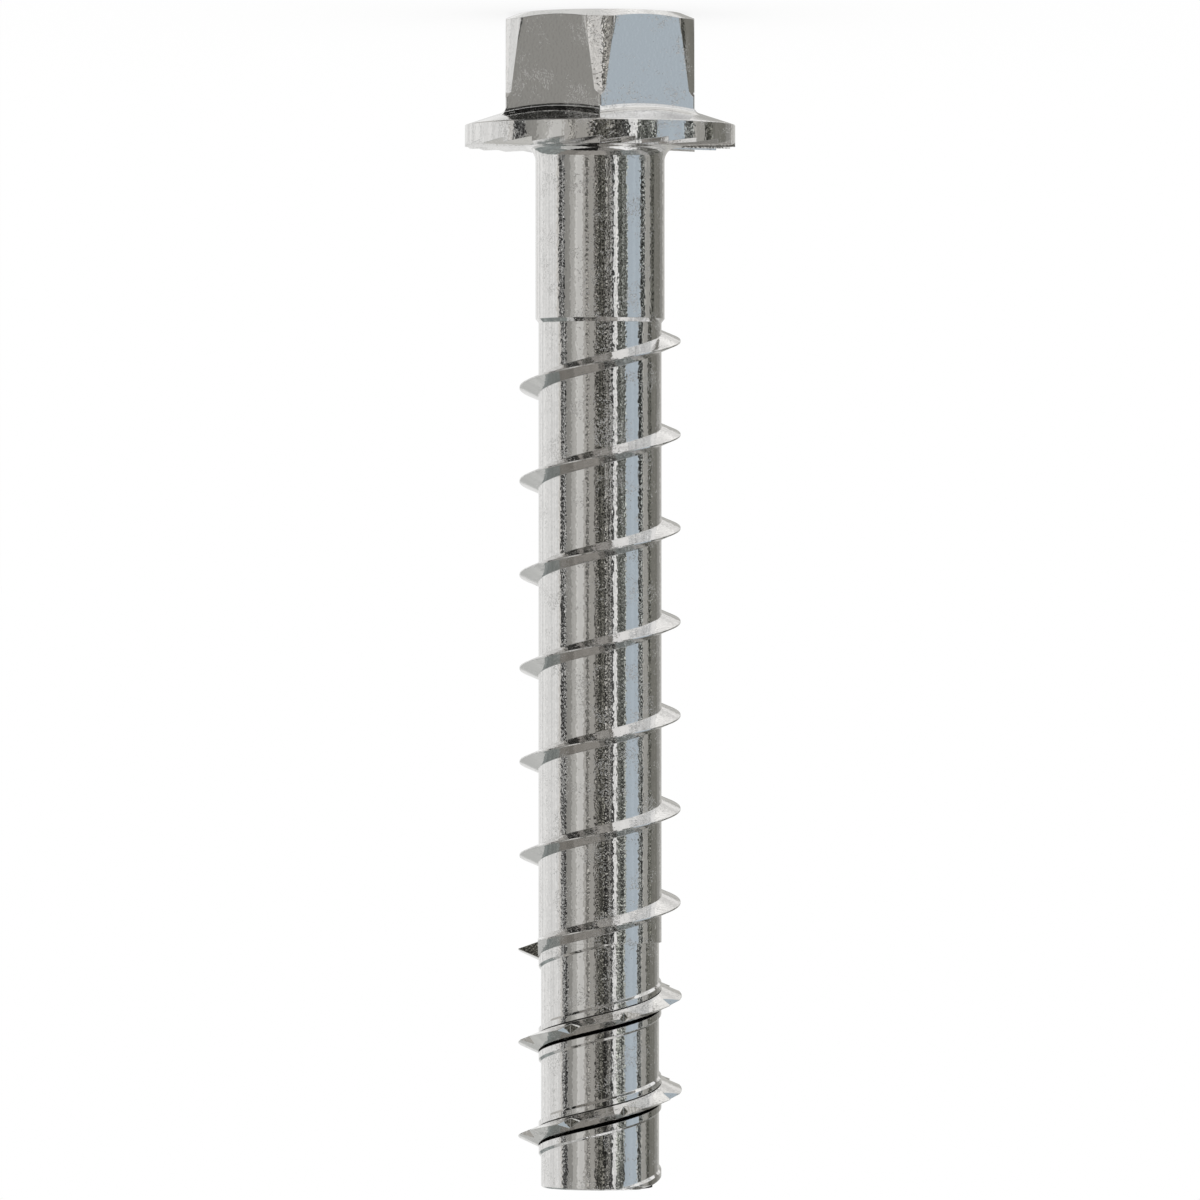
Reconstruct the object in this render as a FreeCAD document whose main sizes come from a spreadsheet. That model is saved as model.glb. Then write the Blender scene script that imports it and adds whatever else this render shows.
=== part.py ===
# Concrete screw: a one-piece flanged hex screw and the toothed cutting coil let into its tip.
# Z runs from the flat top of the head (0) to the tip, and X points to where the coil starts.
# Sizes are in millimetres and degrees. Turning grows from X towards Y.
import FreeCAD, Part
import math
import os
import Sketcher

# Alias, size, and what it measures
SIZES = (
    ("hex_flats", 13.9, "hex head, flat to flat"),
    ("top_flat_diameter", 12.1, "flat circle on top of the head"),
    ("top_chamfer_angle", 22.0, "chamfer round the top, from the horizontal"),
    ("chamfer_diameter", 14.96, "outer edge of the top chamfer"),
    ("corner_taper_angle", 5.6, "cone that eases the six corners, from the axis"),
    ("head_height", 9.83, "top of the head to the tips of the flange teeth"),
    ("flange_diameter", 20.0, "round flange"),
    ("flange_rim_height", 1.59, "straight rim of the flange, teeth included"),
    ("flange_slope", 18.0, "top of the flange, from the horizontal"),
    ("cove_width", 0.41, "cove between the hex and the flange, along each of them"),
    ("tooth_count", 24, "ratchet teeth under the flange"),
    ("tooth_depth", 0.35, "step of a ratchet tooth at the rim"),
    ("tooth_inner_diameter", 11.84, "circle where the teeth begin"),
    ("neck_radius", 1.05, "fillet between the flange and the shank"),
    ("length_under_head", 76.93, "tips of the flange teeth to the end of the screw"),
    ("shank_diameter", 9.55, "plain shank"),
    ("shank_length", 12.73, "plain shank, from the tips of the flange teeth"),
    ("shank_step", 0.29, "length of the chamfer from the shank to the root"),
    ("root_diameter", 9.1, "root of the rolled thread"),
    ("tip_root_diameter", 8.73, "smaller root under the coil"),
    ("tip_length", 18.1, "length of the smaller root"),
    ("tip_edge_break", 0.1, "broken edge at the end"),
    ("thread_pitch", 6.92, "rise of the thread and the coil in one turn"),
    ("thread_diameter", 11.92, "crest of the rolled thread"),
    ("thread_base", 1.15, "width of the rolled thread at its root"),
    ("thread_turns", 6.75, "turns of the rolled thread, counted back from the coil"),
    ("run_out", 0.81, "length over which the thread grows to full height"),
    ("relief_allowance", 0.03, "height left on the thread in front of the coil"),
    ("coil_start_from_tip", 17.6, "start of the coil to the end of the screw"),
    ("coil_turns", 2.1, "turns of the cutting coil"),
    ("coil_diameter", 12.1, "crest of the cutting coil"),
    ("coil_width", 1.08, "width of the coil's wire at the land"),
    ("groove_diameter", 7.76, "floor of the groove that holds the coil"),
    ("braze_gap", 0.05, "braze between the coil and the floor and back wall of the groove"),
    ("front_gap", 0.27, "open gap between the coil and the wall on the tip side"),
    ("land_width", 2.3, "flat land round the coil"),
    ("land_drop", 0.01, "how far the land lies under the thread's root"),
    ("land_offset", 0.15, "middle of the land to the middle of the coil, towards the tip"),
    ("notch_count", 8, "notches in one turn of the coil"),
    ("notch_diameter", 10.21, "bottoms of the notches"),
    ("notch_opening", 17.0, "angle that a notch spans at the crest"),
    ("notch_lean", 2.6, "bottom of a notch from its middle"),
    ("first_notch", 22.5, "middle of the first notch from the coil's start"),
)

# How far a cutting shape stands clear of the metal: elsewhere, and at the corners of the hex
CLEAR = 0.5
CORNER_CLEAR = 0.05
# How far an added shape is sunk into the metal
SUNK = 0.3
# How far a notch is cut past the crest, as a share of its wall
REACH = 1.3
# How much of a turn the land starts before the coil, inside the thicker root
LAND_LEAD = 0.35

# Heights along the axis and radii that follow from the sizes
HEAD = "Sizes.head_height"
RIM_TOP = "(Sizes.head_height - Sizes.flange_rim_height)"
CONE_TOP = f"({RIM_TOP} - Sizes.flange_diameter / 2 * tan(Sizes.flange_slope * 1deg))"
TIP = "(Sizes.head_height + Sizes.length_under_head)"
SHANK_END = "(Sizes.head_height + Sizes.shank_length)"
ROOT_START = f"({SHANK_END} + Sizes.shank_step)"
ROOT_END = f"({TIP} - Sizes.tip_length)"
COIL_START = f"({TIP} - Sizes.coil_start_from_tip)"
ROOT_R = "(Sizes.root_diameter / 2)"
TIP_R = "(Sizes.tip_root_diameter / 2)"
LAND_R = f"({ROOT_R} - Sizes.land_drop)"
CREST_R = "(Sizes.thread_diameter / 2)"


def make_sheet(doc):
    """The driving sizes, one to a row, each with its alias."""
    sheet = doc.addObject("Spreadsheet::Sheet", "Sizes")
    for row, (alias, size, note) in enumerate(SIZES, start=1):
        sheet.set(f"A{row}", note)
        sheet.set(f"B{row}", str(size))
        sheet.setAlias(f"B{row}", alias)
    doc.recompute()
    return sheet


def worked_out(obj, expression):
    """The number that an expression of the sheet comes to now."""
    answer = obj.evalExpression(expression)
    return float(getattr(answer, "Value", answer))


def origin_item(body, role):
    """One of the body's own planes or axes."""
    return next(item for item in body.Origin.OriginFeatures if item.Role == role)


def sketch_on(body, role, name, lift=None, turn=None, about=(0, 1, 0)):
    """A sketch on one of the body's own planes, lifted off it or turned about an axis of its own."""
    sketch = body.newObject("Sketcher::SketchObject", name)
    sketch.AttachmentSupport = [(origin_item(body, role), "")]
    sketch.MapMode = "FlatFace"
    if lift:
        sketch.setExpression("AttachmentOffset.Base.z", lift)
    if turn:
        one_degree = FreeCAD.Rotation(FreeCAD.Vector(about), 1)
        sketch.AttachmentOffset = FreeCAD.Placement(FreeCAD.Vector(), one_degree)
        sketch.setExpression("AttachmentOffset.Rotation.Angle", turn)
    return sketch


def pin_point(sketch, shape, end, across, along):
    """Holds one end of a line at a place given by two expressions."""
    for kind, axis, expression in (("DistanceX", -2, across), ("DistanceY", -1, along)):
        place = worked_out(sketch, expression)
        if expression == "0":
            sketch.addConstraint(Sketcher.Constraint("PointOnObject", shape, end, axis))
            continue
        held = sketch.addConstraint(Sketcher.Constraint(kind, -1, 1, shape, end, place))
        sketch.setExpression(f"Constraints[{held}]", expression)


def outline(sketch, corners):
    """A closed outline through corners (across, along) or (across, along, rounding), as expressions."""
    points = [FreeCAD.Vector(worked_out(sketch, c[0]), worked_out(sketch, c[1]), 0) for c in corners]
    count = len(corners)
    arrive, leave = list(points), list(points)
    for i, corner in enumerate(corners):
        if len(corner) == 3:
            back = (points[i - 1] - points[i]).normalize()
            ahead = (points[(i + 1) % count] - points[i]).normalize()
            reach = worked_out(sketch, corner[2]) / math.tan(back.getAngle(ahead) / 2)
            arrive[i] = points[i] + back * reach
            leave[i] = points[i] + ahead * reach
    sides = [
        sketch.addGeometry(Part.LineSegment(leave[i], arrive[(i + 1) % count]), False)
        for i in range(count)
    ]
    for i, corner in enumerate(corners):
        before, after = sides[i - 1], sides[i]
        if len(corner) == 3:
            round_corner(sketch, before, after, corner, arrive[i], points[i], leave[i])
        else:
            sketch.addConstraint(Sketcher.Constraint("Coincident", before, 2, after, 1))
            pin_point(sketch, after, 1, corner[0], corner[1])


def round_corner(sketch, before, after, corner, arrive, point, leave):
    """An arc tangent to the sides before and after a corner, with the corner kept as a point."""
    back, ahead = arrive - point, leave - point
    bisector = (back + ahead).normalize()
    radius = worked_out(sketch, corner[2])
    centre = point + bisector * (radius / math.sin(back.getAngle(ahead) / 2))
    circle = Part.Circle(centre, FreeCAD.Vector(0, 0, 1), radius)
    left_turn = back.cross(ahead).z < 0
    first, last = (arrive, leave) if left_turn else (leave, arrive)
    arc = sketch.addGeometry(Part.ArcOfCircle(circle, circle.parameter(first), circle.parameter(last)), False)
    near, far = (1, 2) if left_turn else (2, 1)
    mark = sketch.addGeometry(Part.Point(point), True)
    sketch.addConstraint(Sketcher.Constraint("Tangent", before, 2, arc, near))
    sketch.addConstraint(Sketcher.Constraint("Tangent", arc, far, after, 1))
    sketch.addConstraint(Sketcher.Constraint("PointOnObject", mark, 1, before))
    sketch.addConstraint(Sketcher.Constraint("PointOnObject", mark, 1, after))
    pin_point(sketch, mark, 1, corner[0], corner[1])
    held = sketch.addConstraint(Sketcher.Constraint("Radius", arc, radius))
    sketch.setExpression(f"Constraints[{held}]", corner[2])


def feature(body, kind, name, sketch, axis=None, **bound):
    """A PartDesign feature made from a sketch, with its sizes bound to expressions."""
    made = body.newObject(f"PartDesign::{kind}", name)
    made.Profile = sketch
    made.Refine = False
    if axis:
        made.ReferenceAxis = (sketch, [axis])
    for size, expression in bound.items():
        made.setExpression(size, expression)
    return made


def helix(body, kind, name, sketch, turns=None, rise=None):
    """A right-handed coil of the sketch about the axis, for a number of turns or up to a height."""
    made = body.newObject(f"PartDesign::{kind}Helix", name)
    made.Profile = sketch
    made.ReferenceAxis = (sketch, ["V_Axis"])
    made.Mode = "pitch-turns-angle" if turns else "pitch-height-angle"
    made.setExpression("Pitch", "Sizes.thread_pitch")
    made.setExpression("Turns" if turns else "Height", turns or rise)
    made.Refine = False
    return made


def around(body, name, made, count):
    """Repeats a feature evenly about the screw's axis."""
    ring = body.newObject("PartDesign::PolarPattern", name)
    ring.Originals = [made]
    ring.Axis = (origin_item(body, "Z_Axis"), [""])
    ring.Angle = 360
    ring.setExpression("Occurrences", count)
    ring.Refine = False
    body.Tip = ring
    return ring


def add_hex(body):
    """The hex, with the top chamfered and its corners eased by a slim cone."""
    corner = "(Sizes.hex_flats / 2 / cos(30deg))"
    sketch = sketch_on(body, "XY_Plane", "hex_outline")
    outline(sketch, [(f"{corner} * cos({a}deg)", f"{corner} * sin({a}deg)") for a in range(30, 390, 60)])
    feature(body, "Pad", "hex", sketch, Length=RIM_TOP)

    flat_r, chamfer_r = "(Sizes.top_flat_diameter / 2)", "(Sizes.chamfer_diameter / 2)"
    chamfer_z = f"(({chamfer_r} - {flat_r}) * tan(Sizes.top_chamfer_angle))"
    outside = f"({corner} + {CORNER_CLEAR})"
    taper_end = f"({chamfer_z} + ({outside} - {chamfer_r}) / tan(Sizes.corner_taper_angle))"
    sketch = sketch_on(body, "XZ_Plane", "corner_outline")
    outline(sketch, [
        (f"{flat_r} - {CLEAR} / tan(Sizes.top_chamfer_angle)", f"-{CLEAR}"),
        (chamfer_r, chamfer_z),
        (outside, taper_end),
        (outside, f"-{CLEAR}"),
    ])
    feature(body, "Groove", "eased_corners", sketch, "V_Axis")


def add_blank(body):
    """The turned form in one profile: flange, neck fillet, shank, thread root and tip root."""
    flange_r, shank_r = "Sizes.flange_diameter / 2", "Sizes.shank_diameter / 2"
    sketch = sketch_on(body, "XZ_Plane", "blank_outline")
    outline(sketch, [
        ("0", CONE_TOP),
        (flange_r, RIM_TOP),
        (flange_r, HEAD),
        (shank_r, HEAD, "Sizes.neck_radius"),
        (shank_r, SHANK_END),
        (ROOT_R, ROOT_START),
        (ROOT_R, ROOT_END),
        (TIP_R, ROOT_END),
        (TIP_R, f"{TIP} + {CLEAR}"),
        ("0", f"{TIP} + {CLEAR}"),
    ])
    feature(body, "Revolution", "blank", sketch, "V_Axis")


def add_cove(body):
    """Eases the corner between the six sides of the hex and the flange, whose top is the widest cone."""
    body.Document.recompute()
    blank = body.Tip
    cones = [face for face in blank.Shape.Faces if isinstance(face.Surface, Part.Cone)]
    flange_top = max(cones, key=lambda face: face.BoundBox.XLength)
    corners = [
        f"Edge{number}" for number, edge in enumerate(blank.Shape.Edges, start=1)
        if not isinstance(edge.Curve, (Part.Line, Part.Circle))
        and any(edge.isSame(side) for side in flange_top.Edges)
    ]
    cove = body.newObject("PartDesign::Chamfer", "cove")
    cove.Base = (blank, corners)
    cove.setExpression("Size", "Sizes.cove_width")
    cove.Refine = False


def add_teeth(body):
    """Ratchet teeth under the flange: one wedge with a sloping floor, cut all round."""
    inner, outer = "Sizes.tooth_inner_diameter / 2", f"(Sizes.flange_diameter / 2 + {CLEAR})"
    share = "360deg / Sizes.tooth_count"
    slope = f"atan(Sizes.tooth_depth / (Sizes.flange_diameter / 2 * sin({share})))"
    sketch = sketch_on(body, "XY_Plane", "tooth_outline", lift=HEAD, turn=slope, about=(1, 0, 0))
    outline(sketch, [
        (inner, "0"),
        (outer, "0"),
        (outer, f"-{outer} * tan({share}) / cos({slope})"),
        (inner, f"-{inner} * tan({share}) / cos({slope})"),
    ])
    tooth = feature(body, "Pocket", "tooth_gap", sketch, Length=f"Sizes.tooth_depth + {CLEAR}")
    tooth.UseCustomVector = True
    tooth.Direction = FreeCAD.Vector(0, 0, 1)
    tooth.AlongSketchNormal = False
    around(body, "teeth", tooth, "Sizes.tooth_count")


def add_thread(body):
    """The rolled thread, grown out of the shank by a cone and ground away beside the coil."""
    half_base = "Sizes.thread_base / 2"
    lean = f"({half_base} / ({CREST_R} - {ROOT_R}))"
    foot = f"({half_base} + {SUNK} * {lean})"
    start = f"({COIL_START} - Sizes.thread_turns * Sizes.thread_pitch)"
    sketch = sketch_on(body, "XZ_Plane", "thread_outline", turn="-Sizes.thread_turns * 360deg")
    outline(sketch, [
        (f"{ROOT_R} - {SUNK}", f"{start} - {foot}"),
        (CREST_R, start),
        (f"{ROOT_R} - {SUNK}", f"{start} + {foot}"),
    ])
    helix(body, "Additive", "thread", sketch, turns="Sizes.thread_turns")

    outside = f"({CREST_R} + {CLEAR})"
    rise = f"(Sizes.run_out / ({CREST_R} - {ROOT_R}))"
    sketch = sketch_on(body, "XZ_Plane", "run_out_outline")
    outline(sketch, [
        (ROOT_R, ROOT_START),
        (outside, f"{ROOT_START} + ({outside} - {ROOT_R}) * {rise}"),
        (outside, f"{start} - Sizes.thread_pitch / 2"),
        ("Sizes.shank_diameter / 2", f"{start} - Sizes.thread_pitch / 2"),
        ("Sizes.shank_diameter / 2", SHANK_END),
    ])
    feature(body, "Groove", "thread_run_out", sketch, "V_Axis")

    sketch = sketch_on(body, "YZ_Plane", "relief_outline", lift=f"{ROOT_R} + Sizes.relief_allowance")
    outline(sketch, [
        (f"-{outside}", f"{COIL_START} - Sizes.thread_pitch / 2"),
        (f"{CLEAR}", f"{COIL_START} - Sizes.thread_pitch / 2"),
        (f"{CLEAR}", f"{COIL_START} + Sizes.thread_pitch / 4"),
        (f"-{outside}", f"{COIL_START} + Sizes.thread_pitch / 4"),
    ])
    relief = feature(body, "Pocket", "coil_relief", sketch, Length=outside)
    relief.Reversed = True


def add_land(body):
    """The flat land that winds round the tip and carries the coil, with edges at 45 degrees."""
    half, deep = "Sizes.land_width / 2", f"({TIP_R} - {SUNK})"
    middle = f"({COIL_START} + Sizes.land_offset - {LAND_LEAD} * Sizes.thread_pitch)"
    foot = f"({half} + {LAND_R} - {deep})"
    sketch = sketch_on(body, "XZ_Plane", "land_outline", turn=f"-{LAND_LEAD} * 360deg")
    outline(sketch, [
        (deep, f"{middle} - {foot}"),
        (LAND_R, f"{middle} - {half}"),
        (LAND_R, f"{middle} + {half}"),
        (deep, f"{middle} + {foot}"),
    ])
    helix(body, "Additive", "land", sketch, rise=f"{TIP} + 2 * {foot} - {middle}")


def cut_groove(body):
    """The square groove in the land that the coil is brazed into. It runs out through the tip."""
    back = "(Sizes.coil_width / 2 + Sizes.braze_gap)"
    front = "(Sizes.coil_width / 2 + Sizes.front_gap)"
    floor, outside = "Sizes.groove_diameter / 2", f"{ROOT_R} + {CLEAR}"
    sketch = sketch_on(body, "XZ_Plane", "groove_outline")
    outline(sketch, [
        (floor, f"{COIL_START} - {back}"),
        (outside, f"{COIL_START} - {back}"),
        (outside, f"{COIL_START} + {front}"),
        (floor, f"{COIL_START} + {front}"),
    ])
    helix(body, "Subtractive", "coil_groove", sketch, rise=f"{TIP} + 2 * {front} - {COIL_START}")


def trim_tip(body):
    """Faces the end square and breaks its edge."""
    outside = f"({ROOT_R} + {CLEAR})"
    edge = f"({TIP_R} - Sizes.tip_edge_break)"
    beyond = f"{TIP} + Sizes.thread_pitch"
    sketch = sketch_on(body, "XZ_Plane", "tip_outline")
    outline(sketch, [
        ("0", TIP),
        (edge, TIP),
        (outside, f"{TIP} - ({outside} - {edge})"),
        (outside, beyond),
        ("0", beyond),
    ])
    feature(body, "Groove", "faced_tip", sketch, "V_Axis")


def make_screw(doc):
    """The forged and rolled screw, in the order in which it is made."""
    body = doc.addObject("PartDesign::Body", "screw_body")
    add_hex(body)
    add_blank(body)
    add_cove(body)
    add_teeth(body)
    add_land(body)
    cut_groove(body)
    add_thread(body)
    trim_tip(body)
    return body


def polar(radius, angle):
    """A place in the plan, given by a radius and an angle."""
    return (f"{radius} * cos({angle})", f"{radius} * sin({angle})")


def make_coil(doc):
    """The hard coil: a square foot in the groove and a sharp V above the land, with notches."""
    body = doc.addObject("PartDesign::Body", "cutting_coil")
    half = "Sizes.coil_width / 2"
    foot_r = "Sizes.groove_diameter / 2 + Sizes.braze_gap"
    crest_r = "(Sizes.coil_diameter / 2)"
    sketch = sketch_on(body, "XZ_Plane", "coil_outline")
    outline(sketch, [
        (foot_r, f"{COIL_START} - {half}"),
        (ROOT_R, f"{COIL_START} - {half}"),
        (crest_r, COIL_START),
        (ROOT_R, f"{COIL_START} + {half}"),
        (foot_r, f"{COIL_START} + {half}"),
    ])
    helix(body, "Additive", "coil", sketch, turns="Sizes.coil_turns")

    root_r = "Sizes.notch_diameter / 2"
    root = polar(root_r, "Sizes.first_notch * 1deg + Sizes.notch_lean * 1deg")
    corners = [root]
    for side in ("+", "-"):
        edge = polar(crest_r, f"Sizes.first_notch * 1deg {side} Sizes.notch_opening * 0.5deg")
        corners.append(tuple(f"({r}) + {REACH} * (({e}) - ({r}))" for r, e in zip(root, edge)))
    sketch = sketch_on(body, "XY_Plane", "notch_outline", lift=f"{COIL_START} - Sizes.thread_pitch / 2")
    outline(sketch, corners)
    notch = feature(body, "Pocket", "notch", sketch, Length=f"{TIP} - {COIL_START} + Sizes.thread_pitch")
    notch.Reversed = True
    around(body, "notches", notch, "Sizes.notch_count")
    return body


def save(doc, bodies):
    """Checks every object and writes each piece under its own name."""
    doc.recompute()
    for item in doc.Objects:
        if {"Invalid", "Error"} & set(item.State):
            raise RuntimeError(f"{item.Label} failed: {item.State}")
    os.makedirs("parts", exist_ok=True)
    for body in bodies:
        if body.Shape.isNull() or not body.Shape.isValid():
            raise RuntimeError(f"{body.Label} has no valid shape")
        body.Shape.exportStep(f"parts/{body.Label}.step")
        print(body.Label, len(body.Shape.Solids), "solid", round(body.Shape.Volume, 2), "cubic mm")


document = FreeCAD.newDocument("concrete_screw")
make_sheet(document)
save(document, [make_screw(document), make_coil(document)])
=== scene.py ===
"""A flanged hex concrete screw in polished stainless steel, with its toothed cutting coil."""
import math

import bmesh
import bpy
import numpy as np
from bpy.props import FloatProperty, FloatVectorProperty, IntProperty, PointerProperty
from mathutils import Matrix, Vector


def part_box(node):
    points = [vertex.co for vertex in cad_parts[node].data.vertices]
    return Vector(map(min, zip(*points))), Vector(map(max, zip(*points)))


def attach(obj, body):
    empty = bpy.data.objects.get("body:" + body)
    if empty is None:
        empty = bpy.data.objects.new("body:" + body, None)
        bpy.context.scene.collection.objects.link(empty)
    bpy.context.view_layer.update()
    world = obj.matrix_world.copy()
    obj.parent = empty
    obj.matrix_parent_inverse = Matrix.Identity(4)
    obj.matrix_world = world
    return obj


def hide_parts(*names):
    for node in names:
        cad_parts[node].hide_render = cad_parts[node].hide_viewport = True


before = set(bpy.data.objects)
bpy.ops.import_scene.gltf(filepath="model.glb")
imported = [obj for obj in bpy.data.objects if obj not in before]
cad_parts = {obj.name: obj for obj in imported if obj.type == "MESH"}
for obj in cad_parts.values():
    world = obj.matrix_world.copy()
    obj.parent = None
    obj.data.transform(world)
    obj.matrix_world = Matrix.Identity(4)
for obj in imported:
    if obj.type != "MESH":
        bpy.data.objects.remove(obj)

bl_info = {
    "name": "Concrete screw",
    "version": (1, 0, 0),
    "blender": (4, 5, 0),
    "location": "View3D > Sidebar > Screw",
    "description": "Builds a flanged concrete screw with its coil, and the studio it stands in",
    "category": "Add Mesh",
}

MM = 0.001
FULL_TURN = 2 * math.pi
SIXTH_TURN = FULL_TURN / 6
SLIVER_ANGLE = 1e-7    # radians to each side of a step that runs along the axis
SLIVER = 1e-9          # metres to each side of a step that winds with the thread
TINY = 1e-9            # metres put in place of nothing where a length divides
SMALL_COSINE = 1e-3    # keeps a flat cut from running out to infinity
WELD = 1e-7            # metres within which two points are one
EDGE_ANGLE = 18.0      # degrees from which an edge is sharp
CLIMB = np.array([0, 0.25, 0.5, 0.75, 1.0])    # shares of a flank's height at which its rows lie

LINE_STRETCH = 0.01    # width of the lines along the bar as a share of their length
PATCH_EDGE = (0.45, 0.62)    # noise from which the pits begin to lie close, and at which they do
PIT_EDGE = (0.74, 0.53)      # noise above which the steel is pitted, outside a patch and inside it
PIT_WALL = 0.06        # how much more noise brings a pit to its full depth
BRAZE_ROUGHNESS = 0.6

BUSY = 1.5             # contrast from which a card is cluttered and not folded
FOLD_WIDTH = 0.17      # metres from one fold in a card to the next
FOLD_STRETCH = 0.05    # width of a fold as a share of its length
CLUTTER_WIDTH = 0.08   # metres across one thing on a cluttered card
CARD_NOISE = (0.4, 0.66)     # noise at which a card is darkest and brightest
CARD_POINTS = (9, 7)   # points across and up a card
FLOOR_RADIUS = 40.0    # metres
FLOOR_SIDES = 96

SCREW_LOW, SCREW_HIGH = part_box("screw_body")
LENGTH = (SCREW_HIGH.z - SCREW_LOW.z) / MM
FLANGE = (SCREW_HIGH.x - SCREW_LOW.x) / MM


def length(name, description, millimetres):
    """A length that a user may change, given here in millimetres and held in metres."""
    return FloatProperty(
        name=name, description=description, default=millimetres * MM, min=0.0,
        precision=5, unit="LENGTH")


def angle(name, description, degrees):
    """An angle that a user may change."""
    return FloatProperty(
        name=name, description=description, default=math.radians(degrees), unit="ROTATION")


def share(name, description, value, top=1.0):
    """A plain number from nothing to a top value."""
    return FloatProperty(name=name, description=description, default=value, min=0.0, max=top)


def linear(code):
    """An sRGB hex colour as linear red, green and blue."""
    parts = np.array([int(code[i:i + 2], 16) / 255 for i in (0, 2, 4)])
    return tuple(np.where(parts <= 0.04045, parts / 12.92, ((parts + 0.055) / 1.055) ** 2.4))


def tint(name, description, code):
    """A colour that a user may change."""
    return FloatVectorProperty(
        name=name, description=description, default=linear(code), size=3,
        min=0.0, max=1.0, subtype="COLOR")


class HeadSizes(bpy.types.PropertyGroup):
    """Hex, flange and neck."""
    hex_flats: length("Hex flats", "Hex head, flat to flat", 13.9)
    top_flat: length("Top flat", "Diameter of the flat circle on top of the head", 12.1)
    top_chamfer: angle("Top chamfer", "Chamfer round the top, from the horizontal", 22.0)
    chamfer_edge: length("Chamfer edge", "Diameter at the outer edge of the top chamfer", 14.92)
    corner_taper: angle("Corner taper", "Cone that eases the six corners, from the axis", 3.6)
    corner_length: length("Corner length", "Height at which that cone ends", 6.05)
    run_out: angle("Corner run-out", "Steeper cone that ends an eased corner, from the axis", 27.0)
    corner_round: length("Corner rounding", "Radius on the six corners", 0.22)
    height: length("Head height", "Top of the head to the tips of the flange teeth", 9.83)
    flange: length("Flange", "Diameter of the round flange", FLANGE)
    rim: length("Rim", "Straight rim of the flange, teeth included", 1.59)
    rim_round: length("Rim rounding", "Radius on the upper edge of the rim", 0.1)
    slope: angle("Flange slope", "Top of the flange, from the horizontal", 18.0)
    cove: length("Cove", "Radius between the hex and the flange", 0.565)
    teeth: IntProperty(
        name="Teeth", description="Ratchet teeth under the flange", default=24, min=3)
    tooth_depth: length("Tooth depth", "Step of a ratchet tooth at the rim", 0.35)
    tooth_inner: length("Tooth circle", "Diameter of the circle where the teeth begin", 11.84)
    neck: length("Neck", "Fillet between the flange and the shank", 1.05)


class ShankSizes(bpy.types.PropertyGroup):
    """Shank, thread, tip and the groove for the coil."""
    length: length("Length", "Whole length of the screw", LENGTH)
    shank: length("Shank", "Diameter of the plain shank", 9.55)
    shank_length: length("Shank length", "Plain shank, from the tips of the flange teeth", 12.73)
    step: length("Shank step", "Length of the chamfer from the shank to the root", 0.29)
    root: length("Root", "Diameter of the thread's root", 9.1)
    tip_root: length("Tip root", "Diameter of the smaller root under the coil", 8.73)
    tip_length: length("Tip length", "Length of the smaller root", 18.1)
    edge_break: length("Edge break", "Broken edge at the end", 0.1)
    pitch: length("Pitch", "Rise of the thread and the coil in one turn", 6.92)
    crest: length("Crest", "Diameter over the rolled thread", 11.92)
    base_width: length("Thread width", "Width of the rolled thread at its root", 1.15)
    crest_width: length("Crest width", "Width of the rolled thread at its crest", 0.1)
    run_out: length("Run-out", "Length over which the thread grows to full height", 0.81)
    relief: length("Relief", "Height left on the thread in front of the coil", 0.03)
    groove: length("Groove floor", "Diameter at the floor of the coil's groove", 7.76)
    front_gap: length("Open gap", "Gap between the coil and the wall on the tip side", 0.27)
    land_width: length("Land width", "Flat land round the coil", 2.3)
    land_drop: length("Land drop", "How far the land lies under the thread's root", 0.01)
    land_offset: length("Land offset", "Middle of the land to the middle of the coil", 0.15)


class CoilSizes(bpy.types.PropertyGroup):
    """The cutting coil and its notches."""
    from_tip: length("Start", "Start of the coil to the end of the screw", 17.6)
    turns: share("Turns", "Turns of the cutting coil", 2.1, 10.0)
    crest: length("Crest", "Diameter over the coil", 12.1)
    width: length("Width", "Width of the coil's wire at the land", 1.08)
    crest_width: length("Crest width", "Width of the coil at its crest", 0.03)
    braze: length("Braze", "Braze between the coil and its groove", 0.05)
    fillet: length("Braze fillet", "Braze that widens the coil's foot on the tip side", 0.1)
    notches: IntProperty(name="Notches", description="Notches in one turn", default=8, min=1)
    notch_root: length("Notch root", "Diameter at the bottoms of the notches", 10.21)
    notch_opening: angle("Notch opening", "Angle that a notch spans at the crest", 17.0)
    notch_lean: angle("Notch lean", "Bottom of a notch from its middle", 2.6)
    first_notch: angle("First notch", "Middle of the first notch from the coil's start", 22.5)


class SteelFinish(bpy.types.PropertyGroup):
    """How the two steels look."""
    stainless: tint("Stainless steel", "Colour of the polished stainless steel", "EAE9E8")
    hardened: tint("Hardened steel", "Colour of the hard coil", "E6E5E3")
    # The braze's near-black colour is painted shade of the narrow groove round the coil.
    painted_groove_shade: tint("Braze in painted shade", "Colour of the braze that lines the groove", "2E2C29")
    roughness: share("Roughness", "How much the polish blurs what it mirrors", 0.05)
    grain: length("Grain", "Width of one ripple in the polish", 0.2)
    grain_height: length("Grain height", "Height of the ripples", 0.006)
    pit: length("Pit", "Width of one pit", 0.15)
    pit_depth: length("Pit depth", "Depth of the pits", 0.014)
    patch: length("Patch", "Width of a patch where the pits lie close", 2.0)
    edge: length("Eased edge", "Radius to which tumbling has worn the edges", 0.06)
    line: length("Draw line", "Width of the lines left along the axis by drawing the bar", 0.25)
    line_height: length("Draw line height", "Height of the lines along the axis", 0.0014)


class StudioLight(bpy.types.PropertyGroup):
    """Floor, background and camera."""
    floor: tint("Floor", "Colour of the plain floor", "FFFFFF")
    plain: share("Plainness", "Share of the floor seen as plain white, without its shadow", 0.85)
    camera_distance: length("Camera distance", "Camera to the screw's axis", 655.3)
    camera_height: length("Camera height", "Height of the camera over the floor", 43.35)
    lens: FloatProperty(
        name="Lens", description="Focal length in millimetres", default=265.7, unit="CAMERA")


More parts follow.
